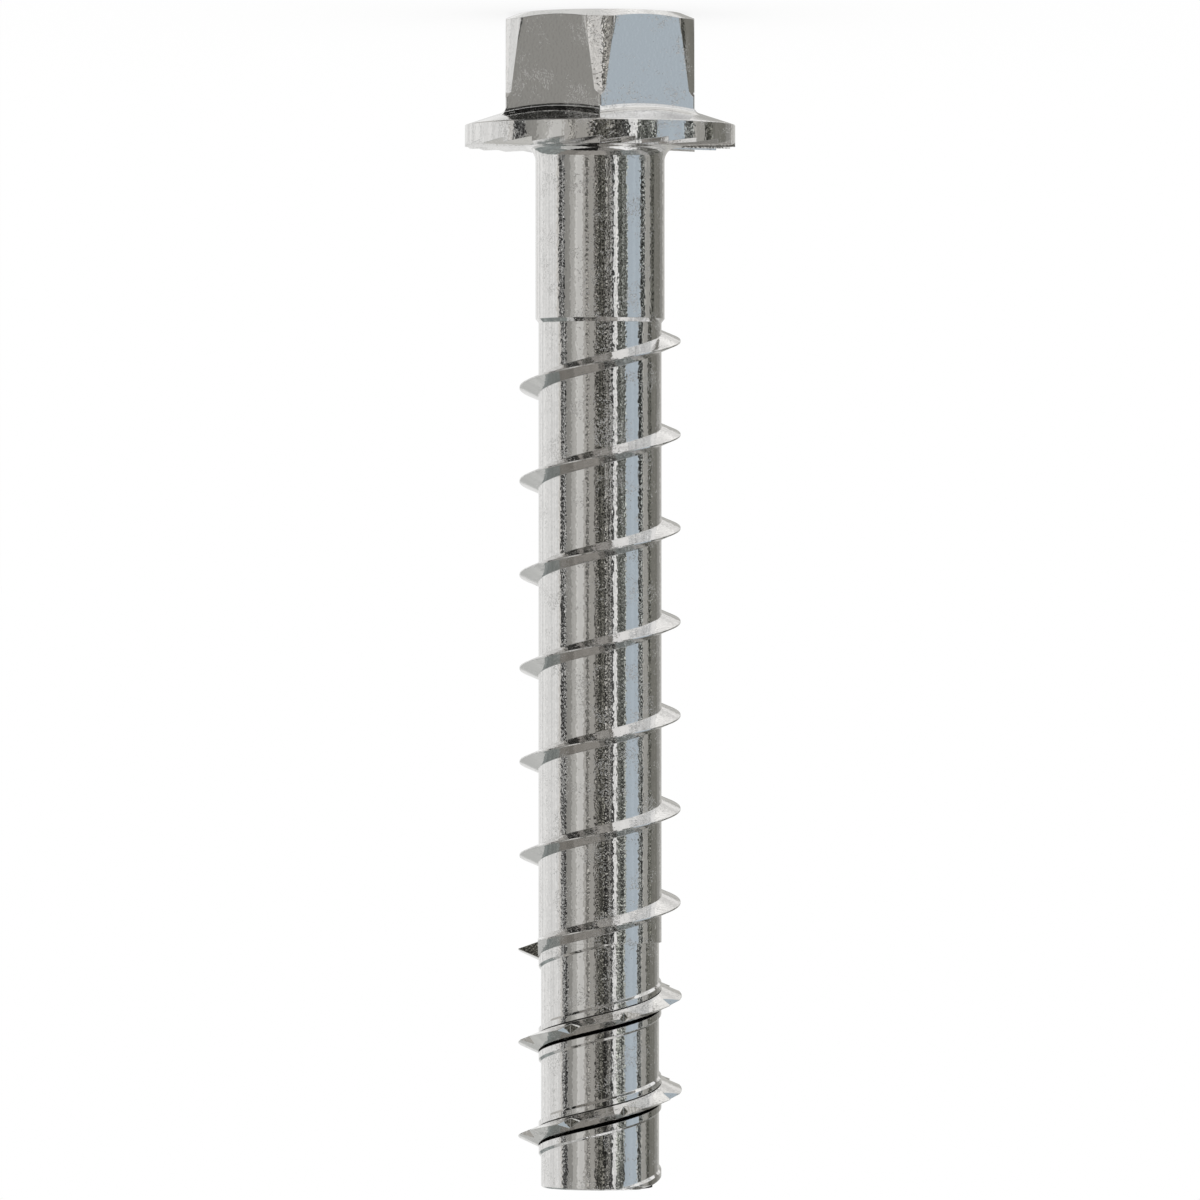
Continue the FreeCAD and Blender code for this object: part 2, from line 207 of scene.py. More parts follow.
GROUPS = {
    "screw_head": HeadSizes,
    "screw_shank": ShankSizes,
    "screw_coil": CoilSizes,
    "screw_finish": SteelFinish,
    "screw_studio": StudioLight,
}


def helix_height(screw, coil, turned):
    """Height of the thread's middle at an angle counted from the coil's start, in metres."""
    return screw.length - coil.from_tip + screw.pitch * turned / FULL_TURN


def cylindrical(turned, radius, height):
    """Points from angles, radii and heights. The angle turns from X towards Y."""
    turned, radius, height = np.broadcast_arrays(turned, radius, height)
    return np.stack((radius * np.cos(turned), radius * np.sin(turned), height), axis=-1)


def grid_quads(points, closed):
    """Quads of a grid of points, as indices into its points.

    They face outwards when the columns turn from X to Y and the rows run to the tip.
    """
    columns, rows = points.shape[:2]
    here = np.arange(columns if closed else columns - 1)[:, None] * rows
    there = (here + rows) % (columns * rows)
    row = np.arange(rows - 1)[None, :]
    corners = (here + row, there + row, there + row + 1, here + row + 1)
    return np.stack(corners, axis=-1).reshape(-1, 4)


def add_object(name, data):
    """A mesh or camera as an object in the scene."""
    made = bpy.data.objects.new(name, data)
    bpy.context.scene.collection.objects.link(made)
    return made


def make_piece(name, grids, steel, lining, foot, end):
    """One welded mesh from grids of points, each with a flag that says if it closes on itself.

    The faces that reach in to the foot's radius take the lining, whose near-black colour is painted
    shade of the groove, apart from those in the planes of the head's top and of the end.
    """
    points, quads, count = [], [], 0
    for grid, closed in grids:
        points.append(grid.reshape(-1, 3))
        quads.append(grid_quads(grid, closed) + count)
        count += grid.shape[0] * grid.shape[1]
    mesh = bpy.data.meshes.new(name)
    mesh.from_pydata(np.concatenate(points), [], np.concatenate(quads))
    shell = bmesh.new()
    shell.from_mesh(mesh)
    bmesh.ops.remove_doubles(shell, verts=shell.verts, dist=WELD)
    bmesh.ops.triangulate(shell, faces=shell.faces)
    shell.to_mesh(mesh)
    shell.free()
    mesh.polygons.foreach_set("use_smooth", np.ones(len(mesh.polygons), bool))
    mesh.set_sharp_from_angle(angle=math.radians(EDGE_ANGLE))
    mesh.materials.append(steel)
    mesh.materials.append(lining)
    places = np.empty(len(mesh.vertices) * 3)
    mesh.vertices.foreach_get("co", places)
    corners = np.empty(len(mesh.loops), int)
    mesh.loops.foreach_get("vertex_index", corners)
    places = places.reshape(-1, 3)[corners].reshape(-1, 3, 3)
    radius = np.hypot(places[..., 0], places[..., 1]).min(axis=1)
    height = places[..., 2].min(axis=1)
    lined = (radius < foot + WELD) & (height > WELD) & (height < end - WELD)
    # Faces in the groove take the near-black lining: painted shade of the gap round the coil.
    mesh.polygons.foreach_set("material_index", lined.astype(int))
    return add_object(name, mesh)


def spread(start, stop, count):
    """Even steps from start to stop, the start itself left out."""
    return start + (stop - start) * (np.arange(1, count + 1) / count)


class ScrewShape:
    """The screw's surface in cylindrical coordinates, worked out from the sizes."""

    columns_in_turn = 240
    neck_rows = 13
    arc_rows = 9           # round the cove and the rim's edge
    side_rows = 8          # down an eased corner, a side and the flange
    short_rows = 3         # down the chamfer, a corner's run-out and the broken edge
    tooth_rows = 5
    early_turns = 0.4      # turns before the tip's root from which the rows follow the groove

    def __init__(self, scene):
        self.head, self.screw, self.coil = scene.screw_head, scene.screw_shank, scene.screw_coil
        screw, coil = self.screw, self.coil
        self.tip = screw.length
        self.shank_end = self.head.height + screw.shank_length
        self.root_start = self.shank_end + screw.step
        self.root_end = self.tip - screw.tip_length
        self.root, self.tip_root, self.crest = screw.root / 2, screw.tip_root / 2, screw.crest / 2
        self.land = self.root - screw.land_drop
        self.floor = screw.groove / 2
        self.back = coil.width / 2 + coil.braze
        self.front = coil.width / 2 + screw.front_gap
        self.half_base, self.half_crest = screw.base_width / 2, screw.crest_width / 2
        self.edge = self.tip_root - screw.edge_break
        self.edge_start = self.tip - (self.land - self.edge)
        self.angles = self.turn_angles()

    def height_of(self, turned):
        """Height of the thread's middle at an angle."""
        return helix_height(self.screw, self.coil, turned)

    def turn_angles(self):
        """Angles of one turn of columns: even ones, and those where winding edges reach the tip."""
        even = np.arange(1, self.columns_in_turn) * FULL_TURN / self.columns_in_turn
        slope = self.land - self.tip_root
        half, middle = self.screw.land_width / 2, self.screw.land_offset
        edges = np.array([
            middle - half - slope, middle - half, middle + half, middle + half + slope,
            -self.back - SLIVER, -self.back + SLIVER, self.front - SLIVER, self.front + SLIVER])
        crossing = (self.edge_start - edges - self.height_of(0)) / self.screw.pitch * FULL_TURN
        ends = [SLIVER_ANGLE, FULL_TURN - SLIVER_ANGLE]
        return np.sort(np.concatenate((even, crossing % FULL_TURN, ends)))

    def thread_top(self, turned):
        """Radius of the thread's top: it grows from the shank and is cut flat before the coil."""
        height = self.crest - self.root
        grown = self.root + (self.height_of(turned) - self.root_start) * height / self.screw.run_out
        flat = (self.root + self.screw.relief) / np.maximum(np.cos(turned), SMALL_COSINE)
        before_coil = (turned > -FULL_TURN / 4) & (turned < 0)
        top = np.clip(grown, self.root, self.crest)
        top = np.where(before_coil, np.minimum(top, flat), top)
        return np.where(turned > 0, self.root, top)

    def half_width(self, radius):
        """Half the thread's width at a radius, along its straight flanks."""
        share_up = (radius - self.root) / (self.crest - self.root)
        return self.half_base - share_up * (self.half_base - self.half_crest)

    def radius_at(self, turned, height, on_tip):
        """Radius of the surface at an angle and a height.

        It is the larger of root, land and thread, less the groove and the broken edge.
        """
        turn = np.round((height - self.height_of(turned)) / self.screw.pitch)
        turned = turned + turn * FULL_TURN
        offset = height - self.height_of(turned)
        steepness = (self.crest - self.root) / (self.half_base - self.half_crest)
        thread = self.root + np.clip(
            (self.half_base - np.abs(offset)) * steepness, 0, self.thread_top(turned) - self.root)
        if on_tip:
            beyond = np.abs(offset - self.screw.land_offset) - self.screw.land_width / 2
            base = np.maximum(self.tip_root, self.land - np.maximum(beyond, 0))
            thread = np.where(thread > self.root, thread, base)
        else:
            base = self.root
        surface = np.maximum(base, thread)
        in_groove = (turned > 0) & (offset > -self.back) & (offset < self.front)
        surface = np.where(in_groove, self.floor, surface)
        return np.minimum(surface, self.edge + self.tip - height) if on_tip else surface

    def thread_rows(self, turned, with_groove):
        """Offsets of the rows from the thread's middle: root, both flanks, root again."""
        half_pitch = self.screw.pitch / 2
        top = self.half_width(self.thread_top(turned))[:, None]
        flank = self.half_base + (top - self.half_base) * CLIMB
        outer_low, outer_high = [-half_pitch], [half_pitch]
        if with_groove:
            slope = self.land - self.tip_root
            half, middle = self.screw.land_width / 2, self.screw.land_offset
            outer_low += [
                middle - half - slope, middle - half, -self.back - SLIVER, -self.back + SLIVER]
            outer_high = [
                self.front - SLIVER, self.front + SLIVER, middle + half, middle + half + slope,
                half_pitch]
        low = np.tile(outer_low, (len(turned), 1))
        high = np.tile(outer_high, (len(turned), 1))
        return np.concatenate((low, -flank, flank[:, ::-1], high), axis=1)

    def winding(self, low, high, on_tip, with_groove):
        """A grid whose rows wind with the thread and are held between two heights."""
        half = self.screw.pitch / 2
        first = math.floor((low - half - self.height_of(0)) / self.screw.pitch)
        last = math.ceil((high + half - self.height_of(0)) / self.screw.pitch)
        turned = (np.arange(first, last)[:, None] * FULL_TURN + self.angles).ravel()
        middle = self.height_of(turned)[:, None]
        height = np.clip(middle + self.thread_rows(turned, with_groove), low, high)
        return cylindrical(turned[:, None], self.radius_at(turned[:, None], height, on_tip), height)

    def cone_height(self, radius):
        """Height of the flange's sloping top at a radius."""
        head = self.head
        return head.height - head.rim - (head.flange / 2 - radius) * math.tan(head.slope)

    def cove_points(self, from_face, lean):
        """Radius and height in the cove, at an angle from a face's middle and a surface's lean.

        In a section square to the face the cove is an arc that touches the face and the flange. The
        flange's slope in that section is its own slope times the cosine of the angle.
        """
        face, round_off = self.head.hex_flats / 2, self.head.cove
        out = face + round_off * (1 - np.cos(lean))
        at_face = np.hypot(face, out * np.tan(from_face))
        slope = np.arctan(math.tan(self.head.slope) * face / at_face)
        reach = round_off / np.tan(math.pi / 4 + slope / 2)
        return out / np.cos(from_face), self.cone_height(at_face) - reach + round_off * np.sin(lean)

    def corner_rounding(self):
        """A corner's rounding: its middle's distance from the axis, its radius, half its angle."""
        rounding = self.head.corner_round
        middle = (self.head.hex_flats / 2 - rounding) / math.cos(SIXTH_TURN / 2)
        reach = math.atan2(rounding / 2, middle + rounding * math.cos(SIXTH_TURN / 2))
        return middle, rounding, reach

    def corner_angles(self):
        """Angles of the head's columns, closer at the corners, and the shared one under each."""
        reach = self.corner_rounding()[2]
        corners = (np.arange(6)[:, None] + 0.5) * SIXTH_TURN
        extra = corners + reach * np.array([-1, -0.6, -0.3, 0.3, 0.6, 1])
        turned = np.sort(np.concatenate((self.angles, extra.ravel())))
        shared = self.angles[np.searchsorted(self.angles, turned, side="right") - 1]
        return turned[:, None], shared[:, None]

    def hexagon(self, turned):
        """Angle from the middle of a face, and the hexagon's radius there.

        The radius is the flat face's over the cosine of that angle, or that of a round corner.
        """
        middle, rounding, reach = self.corner_rounding()
        from_face = (turned + SIXTH_TURN / 2) % SIXTH_TURN - SIXTH_TURN / 2
        from_corner = SIXTH_TURN / 2 - np.abs(from_face)
        aside = np.minimum(middle * np.sin(from_corner), rounding)
        corner = middle * np.cos(from_corner) + np.sqrt(rounding ** 2 - aside ** 2)
        flat = self.head.hex_flats / 2 / np.cos(from_face)
        return from_face, np.where(from_corner < reach, corner, flat)

    def head_grid(self):
        """Top of the head, chamfer, eased corners, hex sides, cove and flange, in one sheet."""
        head = self.head
        turned, shared = self.corner_angles()
        from_face, hexagon = self.hexagon(turned)
        flat, chamfer_edge = head.top_flat / 2, head.chamfer_edge / 2
        one = np.ones_like(hexagon)

        chamfer_end = np.minimum(hexagon, chamfer_edge)
        chamfer_height = (chamfer_end - flat) * math.tan(head.top_chamfer)
        taper = math.tan(head.corner_taper)
        eased_edge = chamfer_edge + (head.corner_length - chamfer_height.max()) * taper
        eased_end = np.minimum(hexagon, eased_edge)
        eased_height = chamfer_height + (eased_end - chamfer_end) / taper
        corner_height = eased_height + (hexagon - eased_end) / math.tan(head.run_out)
        full_lean = math.pi / 2 - np.arctan(math.tan(head.slope) * np.cos(from_face))
        lean = spread(0 * full_lean, full_lean, self.arc_rows)
        cove, cove_height = self.cove_points(from_face, lean)
        foot = self.cove_points(from_face, 0 * one)[1]
        outside, rounding = head.flange / 2, head.rim_round
        edge_reach = rounding * math.tan((math.pi / 2 - head.slope) / 2)
        cone_end = outside - edge_reach * math.cos(head.slope)
        rim_top = head.height - head.rim

        top = np.array([0, 0.5, 0.8, 1.0]) * flat * one
        chamfer = spread(flat * one, chamfer_end, self.short_rows)
        eased = spread(chamfer_end, eased_end, self.side_rows)
        corner = spread(eased_end, hexagon, self.short_rows)
        side = spread(corner_height, foot, self.side_rows)
        flange = np.linspace(cove.max(), cone_end, self.side_rows) * one
        lean = spread(head.slope, math.pi / 2, self.arc_rows)
        edge = (outside - rounding + rounding * np.sin(lean)) * one
        edge_height = (rim_top + edge_reach - rounding * np.cos(lean)) * one

        inner = np.concatenate((top, chamfer, eased, corner, hexagon + 0 * side, cove), axis=1)
        outer = np.concatenate((flange, edge), axis=1)
        height = np.concatenate((
            0 * top, (chamfer - flat) * math.tan(head.top_chamfer),
            chamfer_height + (eased - chamfer_end) / taper,
            eased_height + (corner - eased_end) / math.tan(head.run_out),
            side, cove_height, self.cone_height(flange), edge_height), axis=1)
        angles = np.concatenate((turned + 0 * inner, shared + 0 * outer), axis=1)
        return cylindrical(angles, np.concatenate((inner, outer), axis=1), height)

    def teeth_grid(self):
        """Rim and underside of the flange. A tooth is a plane that sinks along the tangent."""
        head = self.head
        period = FULL_TURN / head.teeth
        steps = np.arange(head.teeth) * period
        from_step = np.abs((self.angles + period / 2) % period - period / 2)
        plain = self.angles[from_step > 2 * SLIVER_ANGLE]
        turned = np.sort(np.concatenate((
            plain, steps + SLIVER_ANGLE, (steps - SLIVER_ANGLE) % FULL_TURN)))[:, None]
        along = -turned % period
        outside, inner = head.flange / 2, head.tooth_inner / 2
        neck_edge = self.screw.shank / 2 + head.neck
        rim_top = head.height - head.rim + head.rim_round * math.tan((math.pi / 2 - head.slope) / 2)
        steepness = head.tooth_depth / (outside * math.sin(period))

        one = np.ones_like(turned)
        rim_height = np.array([rim_top, head.height - head.tooth_depth]) * one
        chord = inner / np.cos(along)
        rim = outside * one
        tooth = np.concatenate((rim, spread(rim, chord, self.tooth_rows)), axis=1)
        tooth_height = head.height - steepness * tooth * np.sin(along)
        radius = np.concatenate((outside + 0 * rim_height, tooth, chord, neck_edge * one), axis=1)
        seat = head.height * one
        height = np.concatenate((rim_height, tooth_height, seat, seat), axis=1)
        return cylindrical(turned, radius, height)

    def neck_grid(self):
        """Neck fillet, plain shank, the small cone to the root, and the thread's first face."""
        head, shank, turned = self.head, self.screw.shank / 2, self.angles[:, None]
        lean = np.linspace(0, math.pi / 2, self.neck_rows)
        radius = np.concatenate((shank + head.neck * (1 - np.sin(lean)), [shank, self.root]))
        height = np.concatenate((
            head.height + head.neck * (1 - np.cos(lean)),
            [self.shank_end, self.root_start, self.root_start]))
        thread = self.radius_at(turned, self.root_start, False)
        return cylindrical(turned, np.concatenate((radius + 0 * turned, thread), axis=1), height)

    def shoulder_grid(self):
        """The flat ring where the root steps down to the tip."""
        turned = self.angles[:, None]
        outer = self.radius_at(turned, self.root_end, False)
        inner = self.radius_at(turned, self.root_end, True)
        return cylindrical(turned, np.concatenate((outer, inner), axis=1), self.root_end)

    def end_grid(self):
        """The broken edge, whose columns wind with the groove, and the flat end."""
        height = np.concatenate((
            np.linspace(self.edge_start, self.tip - self.screw.edge_break, self.short_rows),
            [self.tip]))
        turned = self.angles[:, None] + (height - self.edge_start) / self.screw.pitch * FULL_TURN
        radius = self.radius_at(turned, height, True)
        cap = np.array([1, 0.66, 0.33, 0]) * self.floor * np.ones_like(turned[:, :1])
        return cylindrical(
            np.concatenate((turned, turned[:, -1:] + 0 * cap), axis=1),
            np.concatenate((radius, cap), axis=1),
            np.concatenate((height, self.tip + 0 * cap[0])))

    def grids(self):
        """Every sheet of the screw, from the top of its head to its end."""
        rolled_end = self.root_end - self.early_turns * self.screw.pitch
        return [
            (self.head_grid(), True),
            (self.teeth_grid(), True),
            (self.neck_grid(), True),
            (self.winding(self.root_start, rolled_end, False, False), False),
            (self.winding(rolled_end, self.root_end, False, True), False),
            (self.shoulder_grid(), True),
            (self.winding(self.root_end, self.edge_start, True, True), False),
            (self.end_grid(), True),
        ]


def coil_grids(scene):
    """The coil: a square foot and a V, wound on the thread's helix and lowered at each notch."""
    screw, coil = scene.screw_shank, scene.screw_coil
    crest, root, foot = coil.crest / 2, screw.root / 2, screw.groove / 2 + coil.braze
    half, half_crest = coil.width / 2, coil.crest_width / 2
    period = FULL_TURN / coil.notches
    middle = coil.first_notch % period
    rims = middle + np.array([-0.5, 0.5]) * coil.notch_opening
    bottom = middle + coil.notch_lean
    one_period = np.concatenate((
        np.linspace(rims[0], bottom, 9), np.linspace(bottom, rims[1], 9)[1:],
        np.linspace(rims[1], rims[0] + period, 19)[1:-1]))
    end = coil.turns * FULL_TURN
    periods = np.arange(-1, coil.turns * coil.notches + 1)[:, None] * period
    turned = (periods + one_period).ravel()
    turned = np.concatenate(([0], turned[(turned > 0) & (turned < end)], [end]))

    place = (turned - middle + period / 2) % period - period / 2
    top = np.minimum(crest, notch_radius(place, crest, coil))
    rise = ((top - root) / (crest - root))[:, None]
    back, front = (
        width + (half_crest - width) * rise * CLIMB for width in (half, half + coil.fillet))
    flank = root + (top[:, None] - root) * CLIMB
    low, edge = np.full((len(turned), 1), foot), np.full((len(turned), 1), half)
    radius = np.concatenate((low, flank, flank[:, ::-1], low, low), axis=1)
    offset = np.concatenate((-edge, -back, front[:, ::-1], edge, -edge), axis=1)
    height = helix_height(screw, coil, turned)[:, None] + offset
    sides = cylindrical(turned[:, None], radius, height)
    return [
        (sides, False), (end_face(sides[0], True), False), (end_face(sides[-1], False), False)]


def notch_radius(place, crest, coil):
    """Radius of the two straight walls of a notch, at an angle from the notch's middle."""
    bottom = coil.notch_root / 2
    lines = []
    for side in (-1, 1):
        rim = side * coil.notch_opening / 2
        low = bottom * np.array([math.cos(coil.notch_lean), math.sin(coil.notch_lean)])
        high = crest * np.array([math.cos(rim), math.sin(rim)])
        along = high - low
        outward = np.array([along[1], -along[0]])
        facing = outward[0] * np.cos(place) + outward[1] * np.sin(place)
        safe = np.where(np.abs(facing) < TINY, TINY, facing)
        distance = (outward @ low) / safe
        lines.append(np.where(distance > 0, distance, np.inf))
    wall = np.where(place < coil.notch_lean, lines[0], lines[1])
    return np.where(np.abs(place) > coil.notch_opening / 2, np.inf, wall)


def end_face(section, turned_round):
    """A flat end: the section's left half joined to its right half in strips."""
    ring = section[:-1]
    half = len(ring) // 2
    left, right = ring[:half], ring[:half - 1:-1]
    pair = (right, left) if turned_round else (left, right)
    return np.stack(pair, axis=0)


def empty_material(name):
    """A new material without a node, and its node tree."""
    material = bpy.data.materials.new(name)
    material.use_nodes = True
    material.node_tree.nodes.clear()
    return material, material.node_tree


def node(tree, kind, settings=(), **links):
    """Adds a shader node, sets its properties and inputs, and links the inputs that are sockets.

    An input is given by its name, or by its number after an underscore.
    """
    made = tree.nodes.new(kind)
    for name, value in dict(settings).items():
        setattr(made, name, value)
    for name, value in links.items():
        number = name[1:]
        socket = made.inputs[int(number) if number.isdigit() else name.replace("_", " ")]
        if isinstance(value, bpy.types.NodeSocket):
            tree.links.new(value, socket)
        else:
            socket.default_value = value
    return made


def polished_steel(name, colour, finish):
    """Steel drawn, forged bright and tumbled.

    It mirrors the studio, through fine ripples that break the mirrored cards up into speckle and
    through patches of pits. The real lines, ripples and pits are finer than a pixel, so they are
    drawn as coarse as they need to show.
    """
    material, tree = empty_material(name)
    place = node(tree, "ShaderNodeTexCoord").outputs["Object"]
    worn = node(tree, "ShaderNodeBevel", {"samples": 4}, Radius=finish.edge)
    along = node(tree, "ShaderNodeMapping", Vector=place, Scale=(1.0, 1.0, LINE_STRETCH))
    lines = node(
        tree, "ShaderNodeTexNoise", Vector=along.outputs["Vector"], Scale=1 / finish.line,
        Detail=2.0, Roughness=0.6)
    drawn = node(
        tree, "ShaderNodeBump", Strength=1.0, Distance=finish.line_height,
        Height=lines.outputs["Fac"], Normal=worn.outputs["Normal"])
    grain = node(tree, "ShaderNodeTexNoise", Vector=place, Scale=1 / finish.grain, Detail=0.0)
    rippled = node(
        tree, "ShaderNodeBump", Strength=1.0, Distance=finish.grain_height,
        Height=grain.outputs["Fac"], Normal=drawn.outputs["Normal"])

    pits = node(
        tree, "ShaderNodeTexNoise", Vector=place, Scale=1 / finish.pit, Detail=2.0, Roughness=0.6)
    patches = node(
        tree, "ShaderNodeTexNoise", Vector=place, Scale=1 / finish.patch, Detail=3.0,
        Roughness=0.65)
    sparse = node(
        tree, "ShaderNodeMapRange", Value=patches.outputs["Fac"], From_Min=PATCH_EDGE[0],
        From_Max=PATCH_EDGE[1], To_Min=PIT_EDGE[0], To_Max=PIT_EDGE[1])
    height = node(
        tree, "ShaderNodeMath", {"operation": "SUBTRACT"}, _0=sparse.outputs["Result"],
        _1=pits.outputs["Fac"])
    pitted = node(
        tree, "ShaderNodeMapRange", Value=height.outputs["Value"], From_Min=-PIT_WALL,
        From_Max=0.0)
    bump = node(
        tree, "ShaderNodeBump", Strength=1.0, Distance=finish.pit_depth,
        Height=pitted.outputs["Result"], Normal=rippled.outputs["Normal"])
    shader = node(
        tree, "ShaderNodeBsdfPrincipled", Base_Color=(*colour, 1.0), Metallic=1.0,
        Roughness=finish.roughness, Normal=bump.outputs["Normal"])
    node(tree, "ShaderNodeOutputMaterial", Surface=shader.outputs["BSDF"])
    return material


def braze_in_painted_shade(colour, finish):
    """The braze in the groove, near black as painted shade of the narrow gap round the coil: rough
    and lumpy, hardly a gleam.
    """
    material, tree = empty_material("braze_in_painted_shade")
    place = node(tree, "ShaderNodeTexCoord").outputs["Object"]
    lumps = node(
        tree, "ShaderNodeTexNoise", Vector=place, Scale=1 / finish.grain, Detail=3.0,
        Roughness=0.7)
    bump = node(
        tree, "ShaderNodeBump", Strength=1.0, Distance=finish.grain, Height=lumps.outputs["Fac"])
    shader = node(
        tree, "ShaderNodeBsdfPrincipled", Base_Color=(*colour, 1.0), Metallic=1.0,
        Roughness=BRAZE_ROUGHNESS, Normal=bump.outputs["Normal"])
    node(tree, "ShaderNodeOutputMaterial", Surface=shader.outputs["BSDF"])
    return material


def glow(name, code, contrast):
    """A studio card, about as bright as its colour, which its pattern varies up and down.

    The strength is the contrast to the power of a noise between -1 and 1, so 1 is an even card.
    """
    material, tree = empty_material(name)
    place = node(tree, "ShaderNodeTexCoord").outputs["Object"]
    size, stretch = (FOLD_WIDTH, FOLD_STRETCH) if contrast < BUSY else (CLUTTER_WIDTH, 1.0)
    hung = node(tree, "ShaderNodeMapping", Vector=place, Scale=(1.0, 1.0, stretch))
    pattern = node(
        tree, "ShaderNodeTexNoise", Vector=hung.outputs["Vector"], Scale=1 / size, Detail=2.0,
        Roughness=0.7)
    power = node(
        tree, "ShaderNodeMapRange", Value=pattern.outputs["Fac"], From_Min=CARD_NOISE[0],
        From_Max=CARD_NOISE[1], To_Min=-1.0, To_Max=1.0)
    strength = node(
        tree, "ShaderNodeMath", {"operation": "POWER"}, _0=contrast, _1=power.outputs["Result"])
    light = node(
        tree, "ShaderNodeEmission", Color=(*linear(code), 1.0),
        Strength=strength.outputs["Value"])
    node(tree, "ShaderNodeOutputMaterial", Surface=light.outputs["Emission"])
    return material


# Cards that stand round the screw, by the direction they are seen in: degrees right of the camera
# from one edge to the other, colour, and how much their pattern varies that colour.
SIDE_CARDS = (
    (-180, -84, "E9E9E8", 1.19),
    (-84, -79, "CFCDC9", 1.19),
    (-79, -66, "5E5E5D", 8.0),
    (-66, -55, "94938F", 1.09),
    (-55, -45, "B9B8B4", 1.15),
    (-45, -31, "D6D5D2", 1.12),
    (-31, -26, "AEACA8", 1.15),
    (-26, -20, "94928D", 2.88),
    (-20, -10, "A8A6A1", 1.15),
    (-10, -4, "63615D", 8.0),
    (-4, 8, "53524D", 5.5),
    (8, 19, "5A5956", 8.0),
    (19, 25, "4B4B4A", 8.0),
    (25, 32, "F4F4F3", 1.4),
    (32, 38, "767873", 7.0),
    (38, 50, "6C6E6A", 7.0),
    (50, 77, "B3BEC7", 1.08),
    (77, 88, "606260", 7.0),
    (88, 102, "AFAEA9", 1.23),
    (102, 112, "61615B", 4.13),
    (112, 136, "7C7B75", 1.31),
    (136, 152, "9A9995", 1.23),
    (152, 180, "BFBEBA", 1.23),
)
HIGH_CARDS = (
    (-180, -160, "C9CAC8", 1.15),
    (-160, -122, "8E9493", 1.31),
    (-122, -85, "898E8C", 1.31),
    (-85, -45, "87847F", 1.15),
    (-45, 12, "9D9A95", 1.15),
    (12, 22, "7B7975", 1.66),
    (22, 45, "585856", 8.0),
    (45, 80, "8B908F", 2.33),
    (80, 100, "ADADAB", 1.66),
    (100, 140, "6A6A66", 3.48),
    (140, 180, "C4C4C2", 1.48),
)
TOP_CARDS = (
    (-180, -80, "C8C8C6", 1.3),
    (-80, -8, "1C1C1B", 1.3),
    (-8, 66, "8C8A86", 2.0),
    (66, 125, "FFFFFF", 1.05),
    (125, 180, "6A6A66", 2.0),
)
LOW_CARDS = (
    (-180, -165, "DCDCDA", 1.08),
    (-165, -88, "B8B6B2", 1.23),
    (-88, -79, "8B8985", 2.33),
    (-79, -55, "3A3A38", 2.6),
    (-55, -46, "8E8B87", 1.66),
    (-46, -26, "62615D", 4.83),
    (-26, -5, "94918D", 1.31),
    (-5, 20, "AAA8A4", 1.48),
    (20, 48, "FFFFFF", 1.08),
    (48, 96, "E4E5E6", 1.4),
    (96, 130, "FFFFFF", 1.08),
    (130, 142, "8A8884", 2.0),
    (142, 180, "EEEDEB", 1.3),
)
UNDER_CARDS = (
    (-180, -165, "DCDCDA", 1.05),
    (-165, -20, "2E2E2D", 2.4),
    (-20, 4, "A3A19D", 1.3),
    (4, 14, "8A8884", 2.0),
    (14, 52, "FFFFFF", 1.05),
    (52, 125, "E0E2E3", 1.6),
    (125, 152, "FFFFFF", 1.05),
    (152, 180, "EEEDEB", 1.3),
)
BASE_CARDS = (
    (-180, -165, "DCDCDA", 1.08),
    (-165, -80, "1E1E1D", 2.4),
    (-80, -45, "6A6965", 4.83),
    (-45, -5, "8C8A86", 1.48),
    (-5, 10, "BDBBB8", 1.48),
    (10, 106, "FBFBFA", 1.08),
    (106, 122, "CFCFCC", 1.48),
    (122, 152, "F4F4F2", 1.15),
    (152, 180, "DAD9D6", 1.48),
)
# Each ring of cards, with the degrees over the camera's level that it spans and its distance in
# metres.
CARD_RINGS = (
    ("side", SIDE_CARDS, -20, 20, 2.0),
    ("high", HIGH_CARDS, 20, 55, 2.0),
    ("top", TOP_CARDS, 55, 90, 2.0),
    ("low", LOW_CARDS, -38, -20, 2.0),
    ("under", UNDER_CARDS, -48, -38, 2.0),
    ("base", BASE_CARDS, -90, -48, 2.0),
    ("front", ((-18, 3, "DCDAD7", 1.31), (3, 19, "94928D", 4.0)), -24, -10, 1.9),
    ("line", ((-115, -50, "D8D8D6", 1.2),), -48, -44, 1.9),
)


def dome_card(name, first, last, low, high, away, centre, paint):
    """A card bent to a ball round the screw, from one direction and height in degrees to another.

    Only mirrors see it, so that it neither shades the floor nor hides the view.
    """
    across = -np.radians(np.linspace(first, last, CARD_POINTS[0]))[:, None]
    up = np.radians(np.linspace(low, high, CARD_POINTS[1]))[None, :]
    points = cylindrical(across - math.pi / 2, away * np.cos(up), away * np.sin(up) + centre)
    mesh = bpy.data.meshes.new(name)
    mesh.from_pydata(points.reshape(-1, 3), [], grid_quads(points, False))
    mesh.materials.append(paint)
    card = add_object(name, mesh)
    card.visible_camera = False
    card.visible_diffuse = False
    card.visible_shadow = False
    card.visible_transmission = False


class SCREW_OT_forged_screw(bpy.types.Operator):
    """Build the forged and rolled screw, from its hex head to its grooved tip"""
    bl_idname = "screw.forged_screw"
    bl_label = "Forged screw"

    def execute(self, context):
        finish = context.scene.screw_finish
        steel = polished_steel("polished_stainless_steel", finish.stainless, finish)
        shape = ScrewShape(context.scene)
        lining = braze_in_painted_shade(finish.painted_groove_shade, finish)
        piece = make_piece(
            "forged_screw", shape.grids(), steel, lining, shape.floor, shape.tip)
        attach(piece, "root")
        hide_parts("screw_body")
        return {"FINISHED"}


